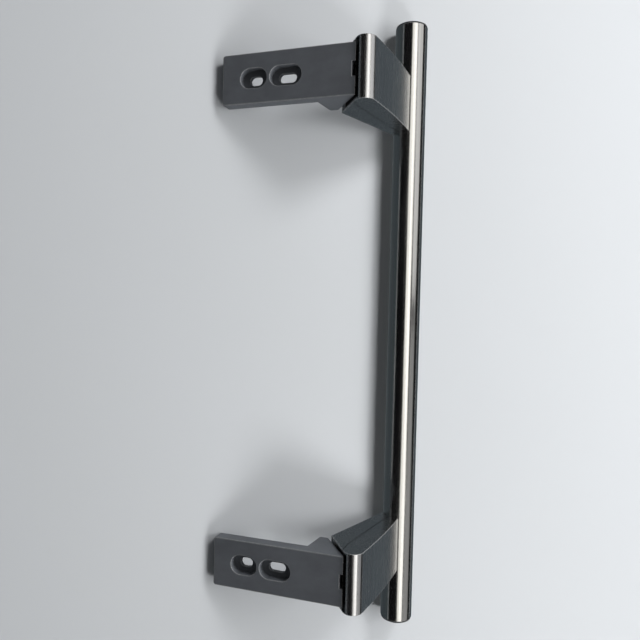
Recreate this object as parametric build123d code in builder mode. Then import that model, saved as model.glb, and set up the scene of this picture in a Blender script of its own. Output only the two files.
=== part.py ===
from build123d import *
from math import cos, radians, sin, sqrt, tan
import os

# Refrigerator door handle: a round bar carried by two levers, each hinged to a base plate
# that is screwed to the narrow side of the door. Pulling the bar swings both levers about
# their pins, and their noses push back over the plates to break the door's seal.
#
# Frame: +Z runs up along the bar, +X points out of the door's front, and +Y points across
# the door, away from its handle edge. The origin is the middle of the four screw slots,
# on the face that lies against the door's side. Millimetres.

os.makedirs("parts", exist_ok=True)

# Grip bar
bar_diameter = 22.0
bar_wall = 1.5
bar_length = 416.0
cap_flange = 1.0
cap_plug_length = 8.0
cap_step = 0.3

# Base plate
bracket_spacing = 305.0
plate_length = 86.0
plate_width = 31.0
plate_thickness = 7.5
plate_corner = 1.6
plate_edge_break = 0.5
foot_drop = 16.4
foot_length = 25.2
foot_draft = 11.0
foot_relief = 1.2
foot_round = 1.2
hook_notch_width = 8.6
hook_notch_depth = 2.4
hook_notch_drop = 4.5

# Screw slots of the base plate
slot_spacing = 21.0
slot_far_end = 20.9
slot_width = 5.8
slot_short = 8.1
slot_long = 11.2
head_width = 12.2
head_play = 9.3
slot_floor = 2.4

# Coring of the base plate's hidden face
core_wall = 2.0
core_roof = 2.4
core_cells = 4

# Lever
lever_width = 37.0
sheet = 1.0
tail_tilt = 33.2
tail_length = 25.4
nose_start = 1.1
nose_radius = 6.5
face_bend_radius = 460.0
bar_out = 20.2
bar_drop = 76.75
face_end_angle = -7.6
back_end_angle = 82.4
seam_end_angle = 32.0
seam_leg = 10.6
seam_round = 5.0
seam_gap = 0.15
curl_gap = 2.0

# Hinge
pin_diameter = 4.0
pin_along = 12.0
pin_inset = 4.4
pin_end_play = 0.25
ear_radius = 4.2
ear_width = 6.0
ear_spacing = 15.0
lever_travel = 8.0
travel_margin = 1.2
stop_gap = 0.15
running_play = 0.05
fixed_play = 0.01
side_play = 0.3
swing_play = 0.5
arm_play = 1.0
window_play = 1.5

# Ribbed pockets behind the nose, where the plate's sliding cover hooks in
pocket_count = 5
pocket_pitch = 6.2
rib_thickness = 0.9
nose_wall = 1.4

# Screw that holds the bar on each lever
screw_angle = 27.0
screw_diameter = 4.0
screw_length = 16.0
screw_head_diameter = 7.0
screw_head_height = 4.0
socket_width = 3.0
socket_depth = 2.2
screw_seat = 6.0
tunnel_play = 0.3
thread_play = 0.02
insert_length = 24.0
insert_play = 0.05
insert_bottom = 3.0

# Clearance between parts that are pressed or clipped together
fit_gap = 0.05

# Worked-out places in the profile plane
bar_radius = bar_diameter / 2
bar_bore = bar_radius - bar_wall
pin_radius = pin_diameter / 2
half_width = lever_width / 2
lining_half = half_width - sheet
core_half = lining_half - fit_gap
levels = {"top": bracket_spacing / 2, "bottom": -bracket_spacing / 2}

slot_centre = slot_spacing / 2
plate_far = -slot_centre - slot_far_end
plate_end = plate_far + plate_length
edge = Vector(plate_end, -plate_thickness)
tail_dir = Vector(-sin(radians(tail_tilt)), cos(radians(tail_tilt)))
tail_in = Vector(cos(radians(tail_tilt)), sin(radians(tail_tilt)))
tail_root = edge + tail_in * stop_gap
tail_tip = tail_root + tail_dir * tail_length
nose_from = tail_root + tail_dir * nose_start
nose_centre = nose_from + tail_in * nose_radius
pin_axis = edge + tail_dir * pin_along + tail_in * pin_inset
pin_foot = edge + tail_dir * pin_along
bar_axis = edge + Vector(bar_out, bar_drop)
foot_back = plate_end - foot_length


def on_bar(angle, radius=bar_radius):
    """A point on a circle round the bar, by its angle from -Y towards -X."""
    return bar_axis + Vector(-sin(radians(angle)), -cos(radians(angle))) * radius


def bend_centre(point, centre, radius, bend):
    """Centre of an arc through the point that touches a circle inside it, on the door's side."""
    span = centre - point
    along = (span.length**2 + bend**2 - (bend - radius) ** 2) / (2 * span.length)
    aside = sqrt(bend**2 - along**2)
    return point + span.normalized() * along + span.normalized().rotate(Axis.Z, -90) * aside


face_end = on_bar(face_end_angle)
back_end = on_bar(back_end_angle)
seam_end = on_bar(seam_end_angle)
face_centre = bend_centre(face_end, nose_centre, nose_radius, face_bend_radius)
nose_to = nose_centre + (nose_centre - face_centre).normalized() * nose_radius
face_middle = face_centre + ((nose_to + face_end) / 2 - face_centre).normalized() * face_bend_radius
nose_top = nose_centre + ((nose_from - nose_centre) + (nose_to - nose_centre)).normalized() * nose_radius
seam_corner = nose_from + Vector(0, seam_leg)
screw_out = Vector(-sin(radians(screw_angle)), -cos(radians(screw_angle)))
screw_head_at = bar_axis + screw_out * (bar_radius + screw_seat)
tunnel_radius = screw_head_diameter / 2 + tunnel_play
tunnel_length = (screw_head_at - tail_root).length

# Side outline of a lever, down to the bar's axis
with BuildSketch() as silhouette:
    with BuildLine():
        ThreePointArc(nose_from, nose_top, nose_to)
        ThreePointArc(nose_to, face_middle, face_end)
        Polyline(face_end, bar_axis, back_end, tail_tip, nose_from)
    make_face()

# The part of that outline which the front shell covers, up to the seam
with BuildSketch() as front_zone:
    outside = Vector(bar_axis.X + bar_diameter, nose_centre.Y - 2 * nose_radius)
    seam_top = nose_from - tail_in * sheet
    with BuildLine():
        Polyline(
            seam_top,
            seam_corner,
            seam_end,
            bar_axis,
            (outside.X, bar_axis.Y),
            (outside.X, outside.Y),
            (seam_top.X, outside.Y),
            close=True,
        )
    make_face()
    fillet(front_zone.vertices().sort_by_distance(seam_corner)[0], radius=seam_round)

# The space inside the shells, and the bar's seat that every lever part is cut to
with BuildSketch() as lining:
    add(silhouette.sketch)
    offset(amount=-sheet, kind=Kind.INTERSECTION)

with BuildSketch() as core_outline:
    add(silhouette.sketch)
    offset(amount=-sheet - fit_gap, kind=Kind.INTERSECTION)

with BuildSketch() as bar_seat:
    with Locations(bar_axis):
        Circle(bar_radius + fit_gap)

# Pocket behind the nose, open towards the plate
pocket_radius = nose_radius - sheet - fit_gap - nose_wall
with BuildSketch() as pocket:
    with Locations(nose_centre):
        Circle(pocket_radius)
    with Locations(nose_centre - tail_in * nose_radius):
        Rectangle(2 * nose_radius, 2 * pocket_radius, rotation=tail_tilt)

# Room for one ear of the plate to turn in
slot_reach = pin_inset + swing_play
with BuildSketch() as ear_room:
    with Locations(pin_axis):
        Circle(ear_radius + swing_play)
    with Locations(pin_axis - tail_in * slot_reach):
        Rectangle(2 * slot_reach, 2 * (ear_radius + arm_play), rotation=tail_tilt)

# Wedge above the pin that swings over the plate's end, so the lever is cut back by it
with BuildSketch() as swing_wedge:
    wedge_top = edge - tail_dir * nose_radius
    swept = (wedge_top - pin_foot).rotate(Axis.Z, lever_travel + travel_margin)
    with BuildLine():
        Polyline(pin_foot, pin_foot + swept, wedge_top, close=True)
    make_face()

# Base plates, each with its hooked foot and two hinge ears
for end, level in levels.items():
    with BuildPart() as base_plate:
        with BuildSketch(Plane.XY.offset(level)):
            foot_tip = edge + tail_dir * ((foot_drop + plate_thickness) / tail_dir.Y)
            foot_heel = foot_back + foot_drop * tan(radians(foot_draft))
            with BuildLine():
                Polyline(
                    (plate_far, -plate_thickness),
                    edge,
                    (foot_tip.X - foot_relief, foot_drop),
                    (foot_heel, foot_drop),
                    (foot_back, 0),
                    (plate_far, 0),
                    close=True,
                )
            make_face()
        extrude(amount=plate_width / 2, both=True)
        foot_edges = base_plate.edges().filter_by(Axis.Z).group_by(Axis.Y)[-1]
        fillet(foot_edges, radius=foot_round)
        far_edges = base_plate.faces().sort_by(Axis.X)[0].edges().filter_by(Axis.Y)
        fillet(far_edges, radius=plate_corner)
        outer_face = base_plate.faces().sort_by(Axis.Y)[0]
        chamfer(outer_face.edges(), length=plate_edge_break)

        # Ears that reach past the slanted end to carry the pin
        for side in (-1, 1):
            with BuildSketch(Plane.XY.offset(level + side * ear_spacing / 2)):
                with Locations(pin_axis):
                    Circle(ear_radius)
                with Locations(pin_axis - tail_in * pin_inset):
                    Rectangle(2 * pin_inset, 2 * ear_radius, rotation=tail_tilt)
        extrude(amount=ear_width / 2, both=True)
        with BuildSketch(Plane.XY.offset(level)):
            with Locations(pin_axis):
                Circle(pin_radius + fixed_play)
        extrude(amount=plate_width, both=True, mode=Mode.SUBTRACT)

        # Two counterbored slots for the screws
        for place, length in ((-slot_centre, slot_short), (slot_centre, slot_long)):
            face_plane = Plane(origin=(place, -plate_thickness, level), x_dir=(1, 0, 0), z_dir=(0, -1, 0))
            with BuildSketch(face_plane):
                SlotOverall(length + head_play, head_width)
            extrude(amount=-(plate_thickness - slot_floor), mode=Mode.SUBTRACT)
            with BuildSketch(face_plane):
                SlotOverall(length, slot_width)
            extrude(amount=-plate_thickness, mode=Mode.SUBTRACT)

        # Notch that clears the cover's hook
        with BuildSketch(Plane.XZ.offset(plate_thickness)):
            with Locations((plate_end, level)):
                Rectangle(2 * hook_notch_depth, hook_notch_width)
        extrude(amount=-hook_notch_drop, mode=Mode.SUBTRACT)

        # Moulded-out cells each side of the screw slots
        cell_far = plate_far + core_wall
        cell_near = foot_back - core_wall
        cell_pitch = (cell_near - cell_far + core_wall) / core_cells
        cell_out = plate_width / 2 - core_wall
        cell_in = head_width / 2 + core_wall
        with BuildSketch(Plane.XZ):
            for side in (-1, 1):
                middle = (
                    (cell_far + cell_near) / 2,
                    level + side * (cell_out + cell_in) / 2,
                )
                with Locations(middle):
                    with GridLocations(cell_pitch, 1, core_cells, 1):
                        Rectangle(cell_pitch - core_wall, cell_out - cell_in)
        extrude(amount=plate_thickness - core_roof, mode=Mode.SUBTRACT)
    base_plate.part.label = f"base_plate_{end}"
    export_step(base_plate.part, f"parts/base_plate_{end}.step")

# Hinge pins, held by the ears
for end, level in levels.items():
    with BuildPart() as hinge_pin:
        with BuildSketch(Plane.XY.offset(level)):
            with Locations(pin_axis):
                Circle(pin_radius)
        extrude(amount=core_half - pin_end_play, both=True)
        pin_rims = hinge_pin.edges().filter_by(GeomType.CIRCLE)
        chamfer(pin_rims, length=pin_end_play)
    hinge_pin.part.label = f"hinge_pin_{end}"
    export_step(hinge_pin.part, f"parts/hinge_pin_{end}.step")

# Front shells: one bent sheet that makes the face, the rolled nose and the front of both cheeks
for end, level in levels.items():
    with BuildPart() as lever_shell:
        with BuildSketch(Plane.XY.offset(level)):
            add(silhouette.sketch)
            add(front_zone.sketch, mode=Mode.INTERSECT)
        extrude(amount=half_width, both=True)
        with BuildSketch(Plane.XY.offset(level)):
            add(lining.sketch)
        extrude(amount=lining_half, both=True, mode=Mode.SUBTRACT)
        with BuildSketch(Plane.XY.offset(level)):
            with Locations((edge.X + curl_gap, edge.Y)):
                Rectangle(2 * nose_radius, 3 * nose_radius, align=(Align.MAX, Align.CENTER))
        extrude(amount=lining_half, both=True, mode=Mode.SUBTRACT)
        with BuildSketch(Plane.XY.offset(level)):
            add(bar_seat.sketch)
        extrude(amount=lever_width, both=True, mode=Mode.SUBTRACT)
    lever_shell.part.label = f"lever_shell_{end}"
    export_step(lever_shell.part, f"parts/lever_shell_{end}.step")

# Tail shells: the sheet that closes the back of each lever
for end, level in levels.items():
    with BuildPart() as tail_shell:
        with BuildSketch(Plane.XY.offset(level)):
            add(silhouette.sketch)
            with BuildSketch(mode=Mode.PRIVATE) as beyond_seam:
                add(front_zone.sketch)
                offset(amount=seam_gap, kind=Kind.INTERSECTION)
            add(beyond_seam.sketch, mode=Mode.SUBTRACT)
        extrude(amount=half_width, both=True)
        with BuildSketch(Plane.XY.offset(level)):
            add(lining.sketch)
        extrude(amount=lining_half, both=True, mode=Mode.SUBTRACT)
        window = pin_along + ear_radius + window_play
        with BuildSketch(Plane.XY.offset(level)):
            with Locations(edge):
                Rectangle(4 * sheet, 2 * window, rotation=tail_tilt)
        extrude(amount=lining_half, both=True, mode=Mode.SUBTRACT)
        with BuildSketch(Plane(origin=screw_head_at + Vector(0, 0, level), z_dir=screw_out)):
            Circle(tunnel_radius)
        extrude(amount=tunnel_length, mode=Mode.SUBTRACT)
        with BuildSketch(Plane.XY.offset(level)):
            add(bar_seat.sketch)
        extrude(amount=lever_width, both=True, mode=Mode.SUBTRACT)
    tail_shell.part.label = f"tail_shell_{end}"
    export_step(tail_shell.part, f"parts/tail_shell_{end}.step")

# Lever cores: the moulding inside the shells, with the hinge knuckles, the ribbed
# pockets behind the nose and the seat for the bar
for end, level in levels.items():
    with BuildPart() as lever_core:
        with BuildSketch(Plane.XY.offset(level)):
            add(core_outline.sketch)
        extrude(amount=core_half, both=True)
        with BuildSketch(Plane.XY.offset(level)):
            add(swing_wedge.sketch)
        extrude(amount=plate_width / 2 + side_play, both=True, mode=Mode.SUBTRACT)
        pocket_first = -(pocket_count - 1) / 2
        for number in range(pocket_count):
            height = level + (pocket_first + number) * pocket_pitch
            with BuildSketch(Plane.XY.offset(height)):
                add(pocket.sketch)
        extrude(amount=(pocket_pitch - rib_thickness) / 2, both=True, mode=Mode.SUBTRACT)
        for side in (-1, 1):
            with BuildSketch(Plane.XY.offset(level + side * ear_spacing / 2)):
                add(ear_room.sketch)
        extrude(amount=ear_width / 2 + side_play, both=True, mode=Mode.SUBTRACT)
        with BuildSketch(Plane.XY.offset(level)):
            with Locations(pin_axis):
                Circle(pin_radius + running_play)
        extrude(amount=lever_width, both=True, mode=Mode.SUBTRACT)
        with BuildSketch(Plane(origin=screw_head_at + Vector(0, 0, level), z_dir=screw_out)):
            Circle(tunnel_radius)
        extrude(amount=tunnel_length, mode=Mode.SUBTRACT)
        with BuildSketch(Plane(origin=bar_axis + Vector(0, 0, level), z_dir=screw_out)):
            Circle(screw_diameter / 2 + tunnel_play)
        extrude(amount=bar_radius + screw_seat, mode=Mode.SUBTRACT)
        with BuildSketch(Plane.XY.offset(level)):
            add(bar_seat.sketch)
        extrude(amount=lever_width, both=True, mode=Mode.SUBTRACT)
    lever_core.part.label = f"lever_core_{end}"
    export_step(lever_core.part, f"parts/lever_core_{end}.step")

# Screws from inside each lever into the bar
for end, level in levels.items():
    with BuildPart() as bar_screw:
        seat_plane = Plane(origin=screw_head_at + Vector(0, 0, level), z_dir=screw_out)
        with BuildSketch(seat_plane):
            Circle(screw_head_diameter / 2)
        extrude(amount=screw_head_height)
        with BuildSketch(seat_plane.offset(screw_head_height)):
            RegularPolygon(socket_width / 2, 6, major_radius=False)
        extrude(amount=-socket_depth, mode=Mode.SUBTRACT)
        with BuildSketch(seat_plane):
            Circle(screw_diameter / 2)
        extrude(amount=-screw_length)
    bar_screw.part.label = f"bar_screw_{end}"
    export_step(bar_screw.part, f"parts/bar_screw_{end}.step")

# Threaded slugs inside the bar
for end, level in levels.items():
    with BuildPart() as thread_slug:
        with BuildSketch(Plane.XY.offset(level)):
            with Locations(bar_axis):
                Circle(bar_bore - insert_play)
        extrude(amount=insert_length / 2, both=True)
        with BuildSketch(Plane(origin=bar_axis + Vector(0, 0, level), z_dir=screw_out)):
            Circle(screw_diameter / 2 + thread_play)
        extrude(amount=bar_radius, mode=Mode.SUBTRACT)
        with BuildSketch(Plane(origin=bar_axis + Vector(0, 0, level), z_dir=screw_out)):
            Circle(screw_diameter / 2 + thread_play)
        extrude(amount=-insert_bottom, mode=Mode.SUBTRACT)
    thread_slug.part.label = f"thread_slug_{end}"
    export_step(thread_slug.part, f"parts/thread_slug_{end}.step")

# Grip bar: a drawn tube with a hole for each screw
with BuildPart() as grip_bar:
    with BuildSketch():
        with Locations(bar_axis):
            Circle(bar_radius)
            Circle(bar_bore, mode=Mode.SUBTRACT)
    extrude(amount=bar_length / 2 - cap_flange, both=True)
    for level in levels.values():
        with BuildSketch(Plane(origin=bar_axis + Vector(0, 0, level), z_dir=screw_out)):
            Circle(screw_diameter / 2 + tunnel_play)
        extrude(amount=bar_diameter, mode=Mode.SUBTRACT)
grip_bar.part.label = "grip_bar"
export_step(grip_bar.part, "parts/grip_bar.step")

# Caps that close the bar's ends
for end, way in (("top", 1), ("bottom", -1)):
    with BuildPart() as end_cap:
        cap_plane = Plane(
            origin=bar_axis + Vector(0, 0, way * (bar_length / 2 - cap_flange)), z_dir=(0, 0, way)
        )
        with BuildSketch(cap_plane):
            Circle(bar_radius - cap_step)
        extrude(amount=cap_flange)
        with BuildSketch(cap_plane):
            Circle(bar_bore - fit_gap)
        extrude(amount=-cap_plug_length)
    end_cap.part.label = f"end_cap_{end}"
    export_step(end_cap.part, f"parts/end_cap_{end}.step")
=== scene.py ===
"""Refrigerator door handle: a brushed round bar on two levers, each hinged to a screwed-on plate.

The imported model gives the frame: +Z runs up along the bar, +X points out of the door's front and
+Y points across the door. Outlines are worked out in millimetres in that frame, at the height of
one bracket's middle, and every finished mesh is moved to its place and turned into metres.
"""

from __future__ import annotations

import logging
import math
from collections.abc import Callable, Iterable, Sequence
from dataclasses import dataclass, field
from enum import Enum

import bmesh
import bpy
from mathutils import Matrix, Vector

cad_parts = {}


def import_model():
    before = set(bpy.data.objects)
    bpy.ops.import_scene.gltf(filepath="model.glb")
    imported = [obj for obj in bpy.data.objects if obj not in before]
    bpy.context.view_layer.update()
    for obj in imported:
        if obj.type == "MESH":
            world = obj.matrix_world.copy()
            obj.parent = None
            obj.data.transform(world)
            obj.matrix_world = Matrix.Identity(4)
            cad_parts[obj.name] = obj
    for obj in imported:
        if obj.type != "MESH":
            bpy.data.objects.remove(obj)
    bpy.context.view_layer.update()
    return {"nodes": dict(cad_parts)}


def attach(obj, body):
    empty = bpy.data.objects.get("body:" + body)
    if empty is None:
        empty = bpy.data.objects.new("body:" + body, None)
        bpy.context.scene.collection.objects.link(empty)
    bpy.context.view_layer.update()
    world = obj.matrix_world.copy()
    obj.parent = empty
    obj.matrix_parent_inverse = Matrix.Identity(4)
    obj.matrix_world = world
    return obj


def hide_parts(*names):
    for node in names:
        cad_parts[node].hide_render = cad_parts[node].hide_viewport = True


LOG = logging.getLogger("door_handle")

# One millimetre in metres
MM = 0.001

# In millimetres: points closer than MERGE become one, NEAR is how exactly an edge has to lie
# where a test looks for it, and OVERSHOOT is how far a tool sticks out of the solid that it cuts
MERGE = 1e-4
NEAR = 0.01
OVERSHOOT = 1.0

# Straight runs in the roll of the nose and round a bore
FINE_STEPS = 48

# Socket numbers of a Mix node that mixes colours
MIX_FACTOR, MIX_LOW, MIX_HIGH, MIX_RESULT = 0, 6, 7, 2

Point = tuple[float, float]
Ring = list[tuple[float, float, float]]
Colour = tuple[float, float, float]
Links = dict[str | int, object]


class Bracket(Enum):
    """The two places where the bar is carried, as a sign of their height."""

    TOP = 1
    BOTTOM = -1


class Cut(Enum):
    """What a tool solid does to the solid that it meets."""

    AWAY = "DIFFERENCE"
    JOIN = "UNION"
    COMMON = "INTERSECT"


class Body(Enum):
    """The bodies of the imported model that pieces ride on."""

    DOOR_MOUNT = "door_mount"
    HANDLE = "handle"


@dataclass(frozen=True)
class Sizes:
    """Driving sizes shared by several sub-assemblies, in millimetres and degrees.

    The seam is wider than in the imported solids, so that it shows as a fine line.
    """

    bar_radius: float = 11.0
    bar_wall: float = 1.5
    bar_length: float = 416.0
    bar_facets: int = 144
    bracket_spacing: float = 305.0
    plate_far: float = -31.4
    plate_end: float = 54.6
    plate_thickness: float = 7.5
    plate_width: float = 31.0
    lever_width: float = 37.0
    sheet: float = 1.0
    fit_gap: float = 0.05
    tail_tilt: float = 33.2
    tail_length: float = 25.4
    stop_gap: float = 0.15
    nose_start: float = 1.1
    nose_radius: float = 6.5
    face_bend: float = 460.0
    bar_out: float = 20.2
    bar_drop: float = 76.75
    face_end_angle: float = -7.6
    back_end_angle: float = 82.4
    seam_end_angle: float = 32.0
    seam_leg: float = 10.6
    seam_round: float = 5.0
    seam_gap: float = 0.45
    curl_gap: float = 2.0
    pin_radius: float = 2.0
    pin_along: float = 12.0
    pin_inset: float = 4.4
    ear_radius: float = 4.2
    ear_width: float = 6.0
    ear_spacing: float = 15.0
    lever_travel: float = 8.0
    travel_margin: float = 1.2
    side_play: float = 0.3
    swing_play: float = 0.5
    arm_play: float = 1.0
    window_play: float = 1.5
    running_play: float = 0.05
    screw_angle: float = 27.0
    screw_seat: float = 6.0
    tunnel_radius: float = 3.8

    @property
    def edge(self) -> Vector:
        """Corner of the plate's outer face at its hinge end."""
        return Vector((self.plate_end, -self.plate_thickness))

    @property
    def tail_dir(self) -> Vector:
        """Direction of the lever's tail, down past the plate's slanted end."""
        tilt = math.radians(self.tail_tilt)
        return Vector((-math.sin(tilt), math.cos(tilt)))

    @property
    def tail_in(self) -> Vector:
        """Direction square to the tail, into the lever."""
        tilt = math.radians(self.tail_tilt)
        return Vector((math.cos(tilt), math.sin(tilt)))

    @property
    def tail_root(self) -> Vector:
        """Point of the tail line next to the plate's outer corner."""
        return self.edge + self.tail_in * self.stop_gap

    @property
    def nose_from(self) -> Vector:
        """Where the tail line meets the nose."""
        return self.tail_root + self.tail_dir * self.nose_start

    @property
    def nose_centre(self) -> Vector:
        """Middle of the nose's roll."""
        return self.nose_from + self.tail_in * self.nose_radius

    @property
    def pin_axis(self) -> Vector:
        """Line of the hinge pin."""
        return self.edge + self.tail_dir * self.pin_along + self.tail_in * self.pin_inset

    @property
    def bar_axis(self) -> Vector:
        """Line of the bar."""
        return self.edge + Vector((self.bar_out, self.bar_drop))

    @property
    def screw_out(self) -> Vector:
        """Direction of the bar's screw, out of the bar into the lever."""
        angle = math.radians(self.screw_angle)
        return Vector((-math.sin(angle), -math.cos(angle)))

    def level(self, bracket: Bracket) -> float:
        """Height of a bracket's middle."""
        return bracket.value * self.bracket_spacing / 2

    def on_bar(self, angle: float) -> Vector:
        """A point on the bar's surface.

        Args:
            angle: Degrees from -Y towards -X.

        Returns:
            The point in the profile plane.
        """
        turn = math.radians(angle)
        out = Vector((-math.sin(turn), -math.cos(turn)))
        return self.bar_axis + out * self.bar_radius


SIZES = Sizes()


# Outlines in the profile plane


def arc(
    centre: Sequence[float], radius: float, start: float, stop: float, steps: int
) -> list[Point]:
    """Points along an arc, both ends included.

    Args:
        centre: Middle of the arc.
        radius: Its radius.
        start: First angle, in degrees anticlockwise from +X.
        stop: Last angle.
        steps: Number of straight runs.

    Returns:
        The points in order.
    """
    turns = [math.radians(start + (stop - start) * i / steps) for i in range(steps + 1)]
    return [(centre[0] + radius * math.cos(t), centre[1] + radius * math.sin(t)) for t in turns]


def circle(centre: Sequence[float], radius: float, steps: int) -> list[Point]:
    """A closed circle as points, anticlockwise."""
    return arc(centre, radius, 0, 360, steps)[:-1]


def bearing(origin: Vector, point: Vector) -> float:
    """Angle in degrees at which a point lies from an origin."""
    span = point - origin
    return math.degrees(math.atan2(span.y, span.x))


def rounded(
    points: Sequence[Sequence[float]], radii: dict[int, float], steps: int = 8
) -> list[Point]:
    """Rounds chosen corners of a closed outline.

    Args:
        points: Corners in order.
        radii: Radius for each corner that is rounded, by its number.
        steps: Straight runs in each round.

    Returns:
        The outline with its rounds.
    """
    made: list[Point] = []
    for i, corner in enumerate(points):
        here = Vector(corner)
        if i not in radii:
            made.append((here.x, here.y))
            continue
        back = (Vector(points[i - 1]) - here).normalized()
        on = (Vector(points[(i + 1) % len(points)]) - here).normalized()
        half = back.angle(on) / 2
        centre = here + (back + on).normalized() * (radii[i] / math.sin(half))
        start = bearing(centre, here + back * (radii[i] / math.tan(half)))
        stop = bearing(centre, here + on * (radii[i] / math.tan(half)))
        sweep = (stop - start + 180) % 360 - 180
        made += arc(centre, radii[i], start, start + sweep, steps)
    return made


def inset(points: Sequence[Point], distance: float) -> list[Point]:
    """Moves every side of an anticlockwise outline inwards.

    Args:
        points: Corners in order.
        distance: How far the sides move, outwards where it is negative.

    Returns:
        The moved outline, with mitred corners.
    """
    made: list[Point] = []
    count = len(points)
    for i in range(count):
        before, here, after = (Vector(points[(i + k) % count]) for k in (-1, 0, 1))
        first, second = (here - before).normalized(), (after - here).normalized()
        square = Vector((-first.y, first.x))
        bend = first.cross(second)
        slide = 0.0 if abs(bend) < 1e-9 else (1 - first.dot(second)) / bend
        move = square * distance - first * (distance * slide)
        made.append((here.x + move.x, here.y + move.y))
    return made


class LeverOutline:
    """The lever's side outline and the seam that splits its two sheets."""

    def __init__(self, sizes: Sizes) -> None:
        """Works out the arc of the bowed face, which touches the nose and ends at the bar.

        Args:
            sizes: The shared sizes.
        """
        self.sizes = sizes
        self.face_end = sizes.on_bar(sizes.face_end_angle)
        self.back_end = sizes.on_bar(sizes.back_end_angle)
        self.tail_tip = sizes.tail_root + sizes.tail_dir * sizes.tail_length
        span = sizes.nose_centre - self.face_end
        bend = sizes.face_bend
        along = (span.length**2 + bend**2 - (bend - sizes.nose_radius) ** 2) / (2 * span.length)
        run = span.normalized()
        aside = Vector((run.y, -run.x)) * math.sqrt(bend**2 - along**2)
        self.face_centre = self.face_end + run * along + aside
        out = (sizes.nose_centre - self.face_centre).normalized()
        self.nose_to = sizes.nose_centre + out * sizes.nose_radius

    def whole(self, steps: int = FINE_STEPS) -> list[Point]:
        """The full side outline as far as the bar's axis, anticlockwise."""
        sizes = self.sizes
        start = bearing(sizes.nose_centre, sizes.nose_from) % 360
        stop = bearing(sizes.nose_centre, self.nose_to) % 360
        nose = arc(sizes.nose_centre, sizes.nose_radius, start, stop, steps)
        first, last = (bearing(self.face_centre, p) for p in (self.nose_to, self.face_end))
        face = arc(self.face_centre, sizes.face_bend, first, last, steps // 2)
        rest = (sizes.bar_axis, self.back_end, self.tail_tip)
        return nose + face[1:] + [(p.x, p.y) for p in rest]

    def front(self) -> list[Point]:
        """What the front sheet covers, up to the seam, anticlockwise."""
        sizes = self.sizes
        seam_root = sizes.nose_from - sizes.tail_in * sizes.sheet
        seam_corner = sizes.nose_from + Vector((0, sizes.seam_leg))
        far_x = sizes.bar_axis.x + 2 * sizes.bar_radius
        low_y = sizes.nose_centre.y - 2 * sizes.nose_radius
        corners = [
            seam_root,
            (seam_root.x, low_y),
            (far_x, low_y),
            (far_x, sizes.bar_axis.y),
            sizes.bar_axis,
            sizes.on_bar(sizes.seam_end_angle),
            seam_corner,
        ]
        return rounded(corners, {6: sizes.seam_round}, 12)


# Solids in millimetres


def set_out(name: str, data: bpy.types.ID) -> bpy.types.Object:
    """Puts a mesh, lamp or camera in the scene as a new object."""
    obj = bpy.data.objects.new(name, data)
    bpy.context.scene.collection.objects.link(obj)
    return obj


def from_bmesh(name: str, bm: bmesh.types.BMesh) -> bpy.types.Object:
    """Turns a bmesh, which is freed, into an object in the scene."""
    mesh = bpy.data.meshes.new(name)
    bm.to_mesh(mesh)
    bm.free()
    return set_out(name, mesh)


def stack(name: str, rings: Sequence[Ring], rims: Iterable[int] = ()) -> bpy.types.Object:
    """A closed solid that runs through rings of points.

    Args:
        name: The object's name.
        rings: Rings with the same number of points, in order.
        rims: Numbers of the bands between rings whose faces count as edge rounds and get the mark
            for the painted edge highlight.

    Returns:
        The solid.
    """
    bm = bmesh.new()
    rim = bm.faces.layers.float.new("rim")
    rows = [[bm.verts.new(p) for p in ring] for ring in rings]
    bm.faces.new(rows[0][::-1])
    bm.faces.new(rows[-1])
    highlight_mark = set(rims)
    for band, (low, high) in enumerate(zip(rows, rows[1:])):
        for i in range(len(low)):
            j = (i + 1) % len(low)
            face = bm.faces.new((low[i], low[j], high[j], high[i]))
            face[rim] = 1.0 if band in highlight_mark else 0.0
    bmesh.ops.recalc_face_normals(bm, faces=bm.faces)
    return from_bmesh(name, bm)


def prism(
    name: str, outline: Sequence[Sequence[float]], half: float, middle: float = 0.0
) -> bpy.types.Object:
    """An outline given a height both ways from a level.

    Args:
        name: The object's name.
        outline: Anticlockwise outline in the profile plane.
        half: Half the height.
        middle: Height of the middle.

    Returns:
        The solid.
    """
    rings = [[(p[0], p[1], middle + side * half) for p in outline] for side in (-1, 1)]
    return stack(name, rings)


def soft_prism(
    name: str, outline: Sequence[Point], half: float, radius: float, steps: int = 4
) -> bpy.types.Object:
    """A prism whose two flat ends meet its walls in rounds, marked as rims that get the painted
    edge highlight.

    Args:
        name: The object's name.
        outline: Anticlockwise outline in the profile plane.
        half: Half the height.
        radius: Radius of the rounds.
        steps: Faces across a round.

    Returns:
        The solid.
    """
    rings = []
    for step in range(steps + 1):
        turn = math.radians(90 * step / steps)
        drawn = inset(outline, radius * (1 - math.sin(turn)))
        rings.append([(x, y, radius * (1 - math.cos(turn)) - half) for x, y in drawn])
    rings += [[(x, y, -z) for x, y, z in ring] for ring in rings[::-1]]
    return stack(name, rings, [*range(steps), *range(steps + 1, 2 * steps + 1)])


def block(name: str, low: Sequence[float], high: Sequence[float]) -> bpy.types.Object:
    """A tool block between two corners."""
    outline = [(low[0], low[1]), (high[0], low[1]), (high[0], high[1]), (low[0], high[1])]
    return prism(name, outline, (high[2] - low[2]) / 2, (high[2] + low[2]) / 2)


def drill(
    name: str, start: Vector, along: Vector, radius: float, length: float
) -> bpy.types.Object:
    """A round tool that starts at a point of the profile plane.

    Args:
        name: The object's name.
        start: Where its axis starts.
        along: Direction of its axis in the profile plane.
        radius: Its radius.
        length: Its length.

    Returns:
        The tool.
    """
    side = Vector((-along.y, along.x))
    rings = []
    for reach in (0.0, length):
        foot = start + along * reach
        ring = circle((0.0, 0.0), radius, FINE_STEPS)
        rings.append([(foot.x + side.x * u, foot.y + side.y * u, v) for u, v in ring])
    return stack(name, rings)


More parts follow.
